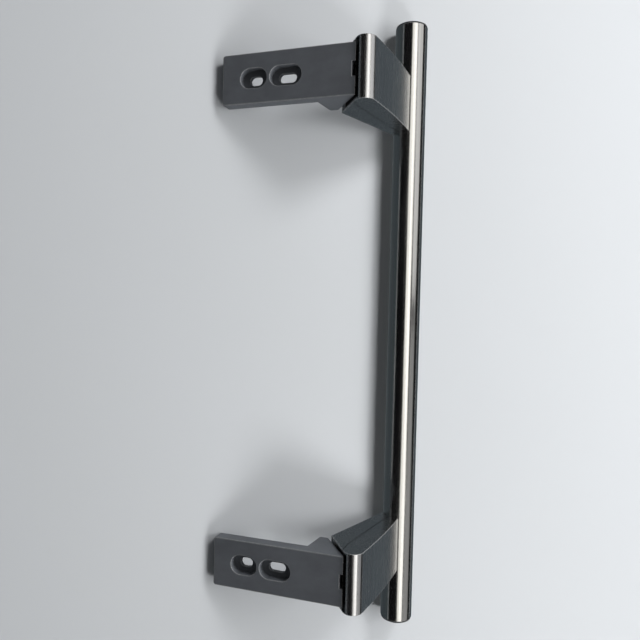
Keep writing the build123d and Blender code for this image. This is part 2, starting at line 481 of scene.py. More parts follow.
def settle(obj: bpy.types.Object) -> bpy.types.Object:
    """Turns an object's modifiers into its mesh.

    Args:
        obj: The object.

    Returns:
        The same object, with no modifiers.
    """
    graph = bpy.context.evaluated_depsgraph_get()
    mesh = bpy.data.meshes.new_from_object(
        obj.evaluated_get(graph), preserve_all_data_layers=True, depsgraph=graph
    )
    obj.modifiers.clear()
    old, obj.data = obj.data, mesh
    bpy.data.meshes.remove(old)
    return obj


def discard(obj: bpy.types.Object) -> None:
    """Removes a tool object and its mesh."""
    mesh = obj.data
    bpy.data.objects.remove(obj)
    bpy.data.meshes.remove(mesh)


def shape(
    target: bpy.types.Object, steps: Sequence[tuple[Cut, bpy.types.Object]]
) -> bpy.types.Object:
    """Works tools into a solid one after another.

    Args:
        target: The solid.
        steps: What is done, and the tool that does it. The tools are used up.

    Returns:
        The solid.
    """
    for cut, tool in steps:
        modifier = target.modifiers.new(tool.name, "BOOLEAN")
        modifier.solver = "EXACT"
        modifier.operation = cut.value
        modifier.object = tool
    settle(target)
    for _, tool in steps:
        discard(tool)
    return target


def round_edges(
    obj: bpy.types.Object,
    chosen: Callable[[bmesh.types.BMEdge], bool],
    width: float,
    segments: int,
    highlight_mark: float = 1.0,
) -> bpy.types.Object:
    """Rounds the edges that a test picks, and marks the rounds as rims.

    Args:
        obj: The solid, in millimetres.
        chosen: Test for an edge.
        width: Radius of the round.
        segments: Faces across it.
        highlight_mark: Value that the rim attribute gets on the round, which sets its painted edge
            highlight.

    Returns:
        The solid.
    """
    bm = bmesh.new()
    bm.from_mesh(obj.data)
    rim = bm.faces.layers.float.get("rim") or bm.faces.layers.float.new("rim")
    edges = [e for e in bm.edges if len(e.link_faces) == 2 and chosen(e)]
    made = bmesh.ops.bevel(
        bm,
        geom=edges,
        offset=width,
        offset_type="OFFSET",
        segments=segments,
        profile=0.5,
        affect="EDGES",
        clamp_overlap=True,
    )
    for face in made["faces"]:
        face[rim] = highlight_mark
    bm.to_mesh(obj.data)
    bm.free()
    return obj


def is_sharp(edge: bmesh.types.BMEdge, degrees: float = 40.0) -> bool:
    """True where an edge's two faces turn by more than an angle."""
    return edge.calc_face_angle(0.0) > math.radians(degrees)


def at_height(edge: bmesh.types.BMEdge, height: float) -> bool:
    """True where both ends of an edge lie as far from the level as the height, either way."""
    return all(abs(abs(v.co.z) - height) < NEAR for v in edge.verts)


def at_depth(edge: bmesh.types.BMEdge, depth: float) -> bool:
    """True where both ends of an edge lie at one place along Y."""
    return all(abs(v.co.y - depth) < NEAR for v in edge.verts)


# Geometry node trees


def add_node(
    tree: bpy.types.NodeTree, kind: str, links: Links | None = None, **settings: object
) -> bpy.types.Node:
    """Adds a node to a tree of any kind.

    Args:
        tree: The tree.
        kind: The node's full type.
        links: Sockets or plain values for its inputs.
        **settings: Its properties.

    Returns:
        The node.
    """
    made = tree.nodes.new(kind)
    for key, value in settings.items():
        setattr(made, key, value)
    for key, value in (links or {}).items():
        if isinstance(value, bpy.types.NodeSocket):
            tree.links.new(value, made.inputs[key])
        else:
            made.inputs[key].default_value = value
    return made


class Tree:
    """A geometry node tree with named inputs, ending in Realize Instances and Set Material."""

    def __init__(self, name: str, inputs: dict[str, str]) -> None:
        """Makes the tree and its sockets.

        Args:
            name: The tree's name.
            inputs: Socket type for each input's name.
        """
        self.tree = bpy.data.node_groups.new(name, "GeometryNodeTree")
        face = self.tree.interface
        face.new_socket("Geometry", in_out="OUTPUT", socket_type="NodeSocketGeometry")
        face.new_socket("Geometry", in_out="INPUT", socket_type="NodeSocketGeometry")
        for label, kind in inputs.items():
            face.new_socket(label, in_out="INPUT", socket_type=f"NodeSocket{kind}")
        face.new_socket("Material", in_out="INPUT", socket_type="NodeSocketMaterial")
        self.source = self.tree.nodes.new("NodeGroupInput")

    def node(self, kind: str, links: Links, **settings: object) -> bpy.types.Node:
        """Adds a node, by its type without GeometryNode or by a full shader node type."""
        full = kind if kind.startswith("ShaderNode") else f"GeometryNode{kind}"
        return add_node(self.tree, full, links, **settings)

    def given(self, name: str) -> bpy.types.NodeSocket:
        """One of the tree's inputs."""
        return self.source.outputs[name]

    def close(self, geometry: bpy.types.NodeSocket) -> bpy.types.NodeTree:
        """Ends the tree.

        Args:
            geometry: What the tree has made.

        Returns:
            The finished tree.
        """
        real = self.node("RealizeInstances", {"Geometry": geometry})
        finish = {"Geometry": real.outputs["Geometry"], "Material": self.given("Material")}
        dressed = self.node("SetMaterial", finish)
        sink = self.tree.nodes.new("NodeGroupOutput")
        self.tree.links.new(dressed.outputs["Geometry"], sink.inputs["Geometry"])
        return self.tree


def grow(
    obj: bpy.types.Object, tree: bpy.types.NodeTree, values: dict[str, object]
) -> bpy.types.Object:
    """Runs a tree on an object and keeps its result as a plain mesh.

    Args:
        obj: The object that the tree starts from.
        tree: The tree.
        values: Value for each named input.

    Returns:
        The object with its new mesh.
    """
    modifier = obj.modifiers.new(tree.name, "NODES")
    modifier.node_group = tree
    for item in tree.interface.items_tree:
        if item.in_out == "INPUT" and item.name in values:
            modifier[item.identifier] = values[item.name]
    return settle(obj)


def row_tree() -> bpy.types.NodeTree:
    """A tree that repeats its geometry in a centred row."""
    tree = Tree("centred_row", {"Count": "Int", "Step": "Vector"})
    steps = tree.node("ShaderNodeMath", {0: tree.given("Count"), 1: 1.0}, operation="SUBTRACT")
    back = tree.node("ShaderNodeMath", {0: steps.outputs[0], 1: -0.5}, operation="MULTIPLY")
    start = tree.node(
        "ShaderNodeVectorMath", {0: tree.given("Step"), "Scale": back.outputs[0]}, operation="SCALE"
    )
    line = tree.node(
        "MeshLine",
        {
            "Count": tree.given("Count"),
            "Start Location": start.outputs["Vector"],
            "Offset": tree.given("Step"),
        },
        mode="OFFSET",
    )
    row = tree.node(
        "InstanceOnPoints", {"Points": line.outputs["Mesh"], "Instance": tree.given("Geometry")}
    )
    return tree.close(row.outputs["Instances"])


def tube_tree() -> bpy.types.NodeTree:
    """A tree that turns a rounded wall section round an upright axis into a drawn tube."""
    kinds = {"Radius": "Float", "Wall": "Float", "Length": "Float", "Rim": "Float", "Facets": "Int"}
    tree = Tree("drawn_tube", kinds)
    half_wall = tree.node("ShaderNodeMath", {0: tree.given("Wall"), 1: 0.5}, operation="MULTIPLY")
    middle = tree.node(
        "ShaderNodeMath", {0: tree.given("Radius"), 1: half_wall.outputs[0]}, operation="SUBTRACT"
    )
    path = tree.node(
        "CurvePrimitiveCircle", {"Resolution": tree.given("Facets"), "Radius": middle.outputs[0]}
    )
    section = tree.node(
        "CurvePrimitiveQuadrilateral", {"Width": tree.given("Wall"), "Height": tree.given("Length")}
    )
    soft = tree.node(
        "FilletCurve",
        {"Curve": section.outputs["Curve"], "Radius": tree.given("Rim"), "Count": 4},
        mode="POLY",
    )
    tube = tree.node(
        "CurveToMesh", {"Curve": path.outputs["Curve"], "Profile Curve": soft.outputs["Curve"]}
    )
    return tree.close(tube.outputs["Mesh"])


# Finishes


@dataclass(frozen=True)
class Pattern:
    """A noise: waves per metre along each axis, octaves, and a shift that sets it apart."""

    scale: tuple[float, float, float]
    detail: float
    offset: float = 0.0
    roughness: float = 0.6


def scaled(colour: Colour, share: float) -> Colour:
    """A colour made darker or lighter, no brighter than white."""
    return tuple(min(1.0, c * share) for c in colour)


class Shader:
    """Builds a material's node graph around one Principled shader."""

    noise_range = (0.32, 0.68)

    def __init__(self, name: str, colour: Colour, roughness: float, metallic: float) -> None:
        """Makes the material.

        Args:
            name: The material's name.
            colour: Base colour, linear.
            roughness: Roughness where nothing varies it.
            metallic: One for bare metal.
        """
        self.material = bpy.data.materials.new(name)
        self.material.use_nodes = True
        self.tree = self.material.node_tree
        self.tree.nodes.clear()
        self.out = self.tree.nodes.new("ShaderNodeOutputMaterial")
        self.body = self.tree.nodes.new("ShaderNodeBsdfPrincipled")
        self.body.inputs["Base Color"].default_value = (*colour, 1.0)
        self.body.inputs["Roughness"].default_value = roughness
        self.body.inputs["Metallic"].default_value = metallic
        self.surface(self.body)
        self.place = self.tree.nodes.new("ShaderNodeTexCoord").outputs["Object"]

    def node(self, kind: str, links: Links | None = None, **settings: object) -> bpy.types.Node:
        """Adds a shader node, by its type without ShaderNode."""
        return add_node(self.tree, f"ShaderNode{kind}", links, **settings)

    def noise(self, pattern: Pattern) -> bpy.types.NodeSocket:
        """Noise on Object coordinates."""
        spot = self.node(
            "Mapping",
            {"Vector": self.place, "Location": (pattern.offset,) * 3, "Scale": pattern.scale},
        )
        made = self.node(
            "TexNoise",
            {
                "Vector": spot.outputs[0],
                "Scale": 1.0,
                "Detail": pattern.detail,
                "Roughness": pattern.roughness,
            },
        )
        return made.outputs["Fac"]

    def spread(
        self, value: bpy.types.NodeSocket, low: float = 0.0, high: float = 1.0
    ) -> bpy.types.NodeSocket:
        """Stretches the middle of a noise to a range.

        Args:
            value: The noise.
            low: Result where the noise is low.
            high: Result where it is high.

        Returns:
            The stretched value.
        """
        valley, crest = self.noise_range
        made = self.node(
            "MapRange",
            {"Value": value, "From Min": valley, "From Max": crest, "To Min": low, "To Max": high},
        )
        return made.outputs["Result"]

    def tint(
        self,
        factor: bpy.types.NodeSocket,
        low: Colour | bpy.types.NodeSocket,
        high: Colour,
    ) -> bpy.types.NodeSocket:
        """A colour between two, by a factor."""
        start = low if isinstance(low, bpy.types.NodeSocket) else (*low, 1.0)
        ends = {MIX_FACTOR: factor, MIX_LOW: start, MIX_HIGH: (*high, 1.0)}
        return self.node("Mix", ends, data_type="RGBA").outputs[MIX_RESULT]

    def rim(self) -> bpy.types.NodeSocket:
        """The rim attribute, one on edge rounds."""
        return self.node("Attribute", attribute_name="rim").outputs["Fac"]

    def bump(self, layers: Sequence[tuple[bpy.types.NodeSocket, float, float]]) -> None:
        """Stacks bump layers on the shader.

        Args:
            layers: For each layer its height, its depth in metres and its strength.
        """
        before: bpy.types.NodeSocket | None = None
        for height, depth, strength in layers:
            made = self.node("Bump", {"Height": height, "Distance": depth, "Strength": strength})
            if before is not None:
                self.tree.links.new(before, made.inputs["Normal"])
            before = made.outputs["Normal"]
        if before is not None:
            self.tree.links.new(before, self.body.inputs["Normal"])

    def link(self, source: bpy.types.NodeSocket, name: str) -> None:
        """Feeds one of the Principled shader's inputs."""
        self.tree.links.new(source, self.body.inputs[name])

    def surface(self, closure: bpy.types.Node) -> None:
        """Makes another shader node the material's surface."""
        self.tree.links.new(closure.outputs[0], self.out.inputs["Surface"])


@dataclass(frozen=True)
class BrushedSteel:
    """Stainless steel with fine brush lines that run along Z, and a painted highlight on its edge
    rounds.
    """

    name: str
    colour: Colour
    roughness: float
    line_scale: float
    line_depth: float
    line_run: float = 9.0
    scratch_scale: float = 0.35
    scratch_run: float = 4.0
    scratch_depth: float = 2.5
    clouds: Pattern = Pattern((38.0, 38.0, 14.0), 3.0, 5.0)
    patch: float = 0.06
    rough_span: tuple[float, float] = (-0.05, 0.07)
    tone_span: tuple[float, float] = (0.90, 1.08)
    # Share by which the base colour is lightened on edge rounds: a painted highlight.
    rim_highlight_share: float = 1.25
    rim_satin: float = 0.3

    def make(self) -> bpy.types.Material:
        """The material, with lines in its bump, roughness and colour."""
        shader = Shader(self.name, self.colour, self.roughness, 1.0)
        across = self.line_scale * self.scratch_scale
        lines = shader.noise(Pattern((self.line_scale, self.line_scale, self.line_run), 5.0))
        scratches = shader.noise(Pattern((across, across, self.scratch_run), 3.0, 11.0))
        clouds = shader.noise(self.clouds)
        rough = shader.spread(lines, *(self.roughness + s for s in self.rough_span))
        smear = shader.spread(clouds, -self.patch / 2, self.patch / 2)
        total = shader.node("Math", {0: rough, 1: smear}, operation="ADD", use_clamp=True)
        shader.link(total.outputs[0], "Roughness")
        dark, light = (scaled(self.colour, s) for s in self.tone_span)
        tone = shader.tint(shader.spread(scratches), dark, light)
        # Painted highlight: edge rounds get a lighter base colour, and are made less metallic.
        painted_rim_tone = scaled(self.colour, self.rim_highlight_share)
        shader.link(shader.tint(shader.rim(), tone, painted_rim_tone), "Base Color")
        bare = {0: shader.rim(), 1: -self.rim_satin, 2: 1.0}
        shader.link(shader.node("Math", bare, operation="MULTIPLY_ADD").outputs[0], "Metallic")
        deep = self.line_depth * self.scratch_depth
        shader.bump([(lines, self.line_depth, 0.55), (scratches, deep, 0.3)])
        return shader.material


@dataclass(frozen=True)
class MouldedPlastic:
    """Matt moulded plastic with a fine spark grain and a painted highlight on its edge rounds,
    broken up by noise.
    """

    name: str
    colour: Colour
    # Colour of the painted highlight on edge rounds.
    edge_highlight_colour: Colour
    roughness: float
    gloss: float = 0.42
    grain: Pattern = Pattern((2600.0, 2600.0, 2600.0), 4.0)
    grain_depth: float = 0.00006
    flow: Pattern = Pattern((60.0, 60.0, 90.0), 4.0, 3.0)
    flow_depth: float = 0.0003
    # Noise that breaks up the painted edge highlight.
    marks: Pattern = Pattern((900.0, 900.0, 120.0), 2.0, 7.0)
    highlight_low: float = 0.55
    rough_span: float = 0.07
    tone_span: tuple[float, float] = (0.90, 1.10)

    def make(self) -> bpy.types.Material:
        """The material, with grain in its bump and roughness."""
        shader = Shader(self.name, self.colour, self.roughness, 0.0)
        shader.body.inputs["Specular IOR Level"].default_value = self.gloss
        grain, flow, marks = (shader.noise(p) for p in (self.grain, self.flow, self.marks))
        dark, light = (scaled(self.colour, s) for s in self.tone_span)
        tone = shader.tint(shader.spread(flow), dark, light)
        # Painted highlight: edge rounds are lightened towards the highlight colour, in patches set
        # by the marks noise.
        highlight_inputs = {0: shader.rim(), 1: shader.spread(marks, self.highlight_low)}
        highlight_mark = shader.node("Math", highlight_inputs, operation="MULTIPLY").outputs[0]
        shader.link(shader.tint(highlight_mark, tone, self.edge_highlight_colour), "Base Color")
        ends = (self.roughness - self.rough_span, self.roughness + self.rough_span)
        shader.link(shader.spread(grain, *ends), "Roughness")
        shader.bump([(grain, self.grain_depth, 0.45), (flow, self.flow_depth, 0.08)])
        return shader.material


@dataclass(frozen=True)
class PlatedSteel:
    """Bright zinc plate with faint turning marks and dull spots."""

    name: str
    colour: Colour = (0.56, 0.57, 0.58)
    roughness: float = 0.32
    spots: Pattern = Pattern((700.0, 700.0, 700.0), 3.0)
    rings: Pattern = Pattern((300.0, 300.0, 4200.0), 2.0, 2.0)
    ring_depth: float = 0.00004
    rough_span: tuple[float, float] = (-0.08, 0.12)
    dulling: float = 0.82

    def make(self) -> bpy.types.Material:
        """The material, with spots in its roughness and colour."""
        shader = Shader(self.name, self.colour, self.roughness, 1.0)
        spots, rings = shader.noise(self.spots), shader.noise(self.rings)
        rough = shader.spread(spots, *(self.roughness + s for s in self.rough_span))
        shader.link(rough, "Roughness")
        dull = scaled(self.colour, self.dulling)
        shader.link(shader.tint(shader.spread(spots), self.colour, dull), "Base Color")
        shader.bump([(rings, self.ring_depth, 0.3)])
        return shader.material


@dataclass
class Palette:
    """One material for each finish of the object."""

    bar: bpy.types.Material = field(init=False)
    sheet: bpy.types.Material = field(init=False)
    grey: bpy.types.Material = field(init=False)
    black: bpy.types.Material = field(init=False)
    plated: bpy.types.Material = field(init=False)

    def __post_init__(self) -> None:
        """Builds the materials."""
        self.bar = BrushedSteel("bar_steel", (0.44, 0.435, 0.42), 0.17, 2600.0, 0.00002).make()
        self.sheet = BrushedSteel("brushed_sheet", (0.43, 0.43, 0.43), 0.24, 2200.0, 0.00006).make()
        # The second colour of each plastic is the painted highlight on its edge rounds.
        self.grey = MouldedPlastic(
            "grey_plastic", (0.125, 0.134, 0.149), (0.26, 0.265, 0.27), 0.52
        ).make()
        self.black = MouldedPlastic(
            "black_plastic", (0.012, 0.012, 0.013), (0.20, 0.18, 0.185), 0.42
        ).make()
        self.plated = PlatedSteel("plated_steel").make()


# Sub-assemblies


def finish_mesh(obj: bpy.types.Object, material: bpy.types.Material, smooth: float = 32.0) -> None:
    """Cleans a solid's mesh, gives it its material and shades its curves smooth.

    Args:
        obj: The solid, in millimetres.
        material: Its material.
        smooth: Angle in degrees above which an edge stays sharp.
    """
    bm = bmesh.new()
    bm.from_mesh(obj.data)
    bmesh.ops.remove_doubles(bm, verts=bm.verts, dist=MERGE)
    bmesh.ops.dissolve_degenerate(bm, edges=bm.edges, dist=MERGE)
    bm.to_mesh(obj.data)
    bm.free()
    obj.data.materials.clear()
    obj.data.materials.append(material)
    for face in obj.data.polygons:
        face.material_index = 0
        face.use_smooth = True
    obj.data.set_sharp_from_angle(angle=math.radians(smooth))
    weigh = obj.modifiers.new("even_shading", "WEIGHTED_NORMAL")
    weigh.keep_sharp = True
    weigh.weight = 100
    settle(obj)


def hand_over(
    obj: bpy.types.Object, name: str, height: float, body: Body, node: str
) -> None:
    """Puts a finished copy of a solid in its place, in metres, on its body, and hides the node it
    stands for.

    Args:
        obj: The solid, in millimetres, at height zero.
        name: The piece's name.
        height: How far up it goes, in millimetres.
        body: The body that it rides on.
        node: The model's node that it stands for.
    """
    mesh = obj.data.copy()
    mesh.name = name
    mesh.transform(Matrix.Scale(MM, 4) @ Matrix.Translation((0, 0, height)))
    piece = set_out(name, mesh)
    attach(piece, body.value)
    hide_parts(node)
    LOG.info("%s: %d faces, rides on %s", name, len(mesh.polygons), body.value)


def set_at_brackets(
    solid: bpy.types.Object, name: str, sizes: Sizes, body: Body, node: str
) -> None:
    """Sets a copy of a finished solid at each bracket, and discards the solid.

    Args:
        solid: The solid, in millimetres.
        name: The piece's name, without the bracket's.
        sizes: The shared sizes.
        body: The body that both copies ride on.
        node: The name of the model's node, without the bracket's.
    """
    for bracket in Bracket:
        end = bracket.name.lower()
        hand_over(solid, f"{name}_{end}", sizes.level(bracket), body, f"{node}_{end}")
    discard(solid)


@dataclass
class GripBar:
    """The drawn tube that the hand pulls, with a cap in each end."""

    palette: Palette
    sizes: Sizes = SIZES
    rim: float = 0.35
    cap_flange: float = 1.0
    cap_step: float = 0.3
    cap_round: float = 0.35
    cap_plug: float = 8.0

    def build(self) -> None:
        """Makes the tube and both caps."""
        self.make_tube()
        self.make_caps()

    def make_tube(self) -> None:
        """The tube, turned from a rounded wall section."""
        tube = from_bmesh("tube_seed", bmesh.new())
        grow(
            tube,
            tube_tree(),
            {
                "Radius": self.sizes.bar_radius,
                "Wall": self.sizes.bar_wall,
                "Length": self.sizes.bar_length - 2 * self.cap_flange,
                "Rim": self.rim,
                "Facets": self.sizes.bar_facets,
                "Material": self.palette.bar,
            },
        )
        axis = self.sizes.bar_axis
        tube.data.transform(Matrix.Translation((axis.x, axis.y, 0)))
        finish_mesh(tube, self.palette.bar)
        hand_over(tube, "grip_tube", 0, Body.HANDLE, "grip_bar")
        discard(tube)

    def make_caps(self) -> None:
        """The caps, turned discs with a plug inside the tube."""
        axis = self.sizes.bar_axis
        face = self.sizes.bar_radius - self.cap_step
        plug = self.sizes.bar_radius - self.sizes.bar_wall - self.sizes.fit_gap
        section = [(plug, -self.cap_plug), (plug, 0.0), (face, 0.0)]
        section += [
            (face - self.cap_round + x, self.cap_flange - self.cap_round + y)
            for x, y in arc((0, 0), self.cap_round, 0, 90, 4)
        ]
        for bracket in Bracket:
            end = bracket.name.lower()
            rings = []
            for radius, z in section:
                ring = circle(axis, radius, self.sizes.bar_facets)
                rings.append([(x, y, z * bracket.value) for x, y in ring])
            cap = stack("cap_turned", rings)
            finish_mesh(cap, self.palette.black)
            height = bracket.value * (self.sizes.bar_length / 2 - self.cap_flange)
            hand_over(cap, f"bar_cap_{end}", height, Body.HANDLE, f"end_cap_{end}")
            discard(cap)


@dataclass
class Lever:
    """One lever design, made once and set at both brackets: two sheets round a moulded core."""

    palette: Palette
    row: bpy.types.NodeTree
    sizes: Sizes = SIZES
    edge_round: float = 0.32
    seam_break: float = 0.06
    rib_round: float = 0.2
    pocket_count: int = 5
    pocket_pitch: float = 6.2
    rib: float = 0.9
    nose_wall: float = 1.4

    def __post_init__(self) -> None:
        """Works out the outlines that the three parts share."""
        self.outline = LeverOutline(self.sizes)
        self.half = self.sizes.lever_width / 2
        self.lining = self.half - self.sizes.sheet

    def build(self) -> None:
        """Makes both sheets and the core."""
        parts = (
            ("front_sheet", self.front_sheet(), "brushed_steel", self.palette.sheet, "lever_shell"),
            ("tail_sheet", self.tail_sheet(), "brushed_steel", self.palette.sheet, "tail_shell"),
            ("lever_moulding", self.core(), "black_plastic", self.palette.black, "lever_core"),
        )
        for name, solid, slot, material, node in parts:
            finish_mesh(solid, material)
            set_at_brackets(solid, name, self.sizes, Body.HANDLE, node)

    def seat(self) -> bpy.types.Object:
        """The bar's seat as a tool."""
        sizes = self.sizes
        ring = circle(sizes.bar_axis, sizes.bar_radius + sizes.fit_gap, sizes.bar_facets)
        return prism("seat_tool", ring, 2 * self.half)

    def tunnel(self) -> bpy.types.Object:
        """The tunnel through which the bar's screw is driven, as a tool."""
        sizes = self.sizes
        start = sizes.bar_axis + sizes.screw_out * (sizes.bar_radius + sizes.screw_seat)
        length = (start - sizes.tail_root).length
        return drill("tunnel_tool", start, sizes.screw_out, sizes.tunnel_radius, length)

    def front_sheet(self) -> bpy.types.Object:
        """The bent sheet that makes the face, the rolled nose and the front of the cheeks."""
        sizes = self.sizes
        whole = self.outline.whole()
        curl = sizes.edge.x + sizes.curl_gap
        wide, span = 2 * sizes.nose_radius, 1.5 * sizes.nose_radius
        low = (curl - wide, sizes.edge.y - span, -self.lining)
        high = (curl, sizes.edge.y + span, self.lining)
        sheet = shape(
            soft_prism("front_sheet", whole, self.half, self.edge_round),
            [
                (Cut.COMMON, prism("seam_tool", self.outline.front(), 2 * self.half)),
                (Cut.AWAY, prism("lining_tool", inset(whole, sizes.sheet), self.lining)),
                (Cut.AWAY, block("curl_tool", low, high)),
                (Cut.AWAY, self.seat()),
            ],
        )
        return self.break_seam(sheet)

    def tail_sheet(self) -> bpy.types.Object:
        """The sheet behind the seam, which closes the back of the lever."""
        sizes = self.sizes
        whole = self.outline.whole()
        reach = sizes.pin_along + sizes.ear_radius + sizes.window_play
        low = sizes.edge - sizes.tail_dir * reach - sizes.tail_in * 2 * sizes.sheet
        through, up = sizes.tail_in * 4 * sizes.sheet, sizes.tail_dir * 2 * reach
        corners = [low, low + through, low + through + up, low + up]
        front = inset(self.outline.front(), -sizes.seam_gap)
        sheet = shape(
            soft_prism("tail_sheet", whole, self.half, self.edge_round),
            [
                (Cut.AWAY, prism("seam_tool", front, 2 * self.half)),
                (Cut.AWAY, prism("lining_tool", inset(whole, sizes.sheet), self.lining)),
                (Cut.AWAY, prism("window_tool", corners, self.lining)),
                (Cut.AWAY, self.tunnel()),
                (Cut.AWAY, self.seat()),
            ],
        )
        return self.break_seam(sheet)

    def break_seam(self, sheet: bpy.types.Object) -> bpy.types.Object:
        """Breaks a sheet's edges along the seam in its cheeks."""
        return round_edges(
            sheet, lambda e: is_sharp(e) and at_height(e, self.half), self.seam_break, 2, 0.0
        )

    def core(self) -> bpy.types.Object:
        """The moulding inside the sheets, with its knuckles and ribbed pockets."""
        sizes = self.sizes
        half = self.lining - sizes.fit_gap
        pivot = sizes.edge + sizes.tail_dir * sizes.pin_along
        top = sizes.edge - sizes.tail_dir * sizes.nose_radius
        swing = Matrix.Rotation(math.radians(sizes.lever_travel + sizes.travel_margin), 2)
        wedge = [pivot, top, pivot + swing @ (top - pivot)]
        tools = [
            prism("wedge_tool", wedge, sizes.plate_width / 2 + sizes.side_play),
            self.pockets(),
            self.ear_room(-1),
            self.ear_room(1),
            self.pin_bore(),
            self.tunnel(),
            self.seat(),
        ]
        outline = inset(self.outline.whole(), sizes.sheet + sizes.fit_gap)
        core = shape(prism("lever_moulding", outline, half), [(Cut.AWAY, tool) for tool in tools])
        # The rib edges are marked for the painted edge highlight.
        return round_edges(core, self.at_rib, self.rib_round, 2)

    def at_rib(self, edge: bmesh.types.BMEdge) -> bool:
        """True for the edges of the ribs between the pockets."""
        low, high = (v.co for v in edge.verts)
        near = (low.xy - self.sizes.nose_centre).length < 2 * self.sizes.nose_radius
        inside = abs(low.z) < self.pocket_count * self.pocket_pitch / 2 - self.rib
        level = abs(low.z - high.z) < NEAR
        return near and inside and level and edge.is_convex and is_sharp(edge)

    def pin_bore(self) -> bpy.types.Object:
        """The bore that turns on the pin, as a tool."""
        radius = self.sizes.pin_radius + self.sizes.running_play
        ring = circle(self.sizes.pin_axis, radius, FINE_STEPS)
        return prism("bore_tool", ring, 2 * self.half)

    def ear_room(self, side: int) -> bpy.types.Object:
        """Room for one ear of the plate to turn in, as a tool.

        Args:
            side: Minus one or one, for the lower or upper ear.

        Returns:
            The tool.
        """
        sizes = self.sizes
        reach = sizes.pin_inset + sizes.swing_play
        radius = sizes.ear_radius + sizes.arm_play
        outline = stadium_arm(sizes.pin_axis, -sizes.tail_in, radius, 2 * reach)
        half = sizes.ear_width / 2 + sizes.side_play
        return prism(f"ear_room_{side}", outline, half, side * sizes.ear_spacing / 2)

    def pockets(self) -> bpy.types.Object:
        """The row of pockets behind the nose, as one tool whose gaps leave the ribs."""
        sizes = self.sizes
        radius = sizes.nose_radius - sizes.sheet - sizes.fit_gap - self.nose_wall
        outline = stadium_arm(sizes.nose_centre, -sizes.tail_in, radius, 2 * sizes.nose_radius)
        pocket = prism("pocket_tool", outline, (self.pocket_pitch - self.rib) / 2)
        values = {
            "Count": self.pocket_count,
            "Step": (0.0, 0.0, self.pocket_pitch),
            "Material": self.palette.black,
        }
        return grow(pocket, self.row, values)


def stadium_arm(centre: Vector, along: Vector, radius: float, length: float) -> list[Point]:
    """A round end with a straight arm of the same width.

    Args:
        centre: Middle of the round end.
        along: Direction of the arm.
        radius: Radius of the end, half the arm's width.
        length: How far the arm reaches from the middle.

    Returns:
        The outline, anticlockwise.
    """
    side = Vector((-along.y, along.x))
    start = math.degrees(math.atan2(side.y, side.x))
    ends = [centre + along * length - side * radius, centre + along * length + side * radius]
    return [(p.x, p.y) for p in ends] + arc(centre, radius, start, start + 180, 24)


